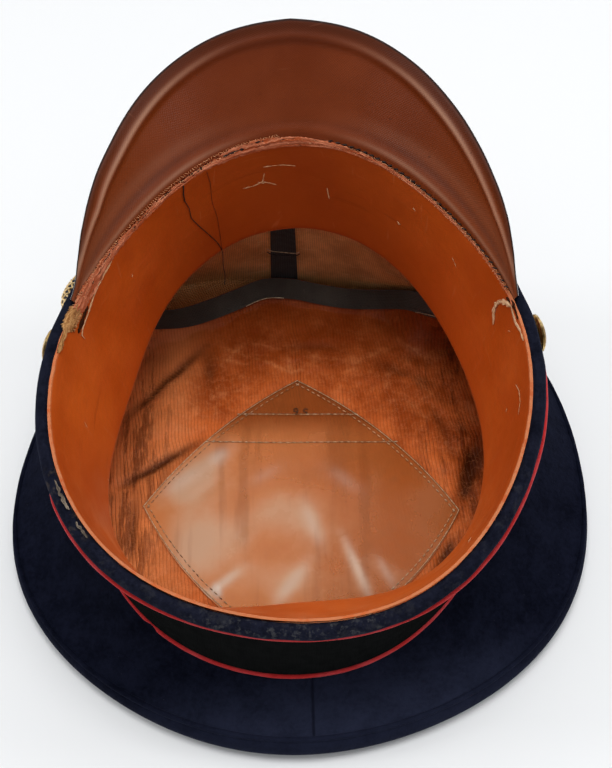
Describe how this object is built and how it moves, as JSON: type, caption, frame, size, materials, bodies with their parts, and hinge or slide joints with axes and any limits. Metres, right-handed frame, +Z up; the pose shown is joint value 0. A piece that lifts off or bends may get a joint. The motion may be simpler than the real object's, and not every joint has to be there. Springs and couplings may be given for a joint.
{
  "type": "visor cap",
  "caption": "Uniform visor cap lying upside down on its flat crown, with a leather sweatband, an oilcloth lining, a curved visor and a double chin cord on two side buttons.",
  "frame": {"origin": "middle of the crown's flat face, on the surface the cap lies on", "axes": "+Z up, out of the head opening of the upturned cap; +Y towards the cap's front, where the visor is; +X to the right as seen from the cap's back"},
  "size_m": [0.2294, 0.2329, 0.1466],
  "materials": {
    "navy_wool": "felted wool cloth",
    "navy_strip": "worn wool cloth",
    "black_trim": "matt velvet",
    "red_piping": "wool piping",
    "brown_leather": "worn smooth leather",
    "visor_lacquer": "lacquered, brown underneath and black outside",
    "oilcloth_lining": "crinkled oiled cloth",
    "celluloid": "aged clear sheet over the lining",
    "brown_canvas": "coarse stiffened canvas",
    "black_tape": "woven tape",
    "black_stay": "woven tape over a flat stiffener",
    "gold_braid": "metal thread braid",
    "brass_button": "pressed brass"
  },
  "bodies": {
    "root": {"crown_top": "navy_wool", "crown_side": "navy_wool", "crown_welt": "navy_wool", "band_core": "navy_strip", "band_trim": "black_trim", "piping_lower": "red_piping", "piping_upper": "red_piping", "sweatband": "brown_leather", "visor": "visor_lacquer", "chin_cord": "gold_braid", "button_left": "brass_button", "button_right": "brass_button", "lining": "oilcloth_lining", "sweat_shield": "celluloid", "front_canvas": "brown_canvas", "front_stay": "black_stay", "lining_tape": "black_tape"}
  },
  "joints": []
}
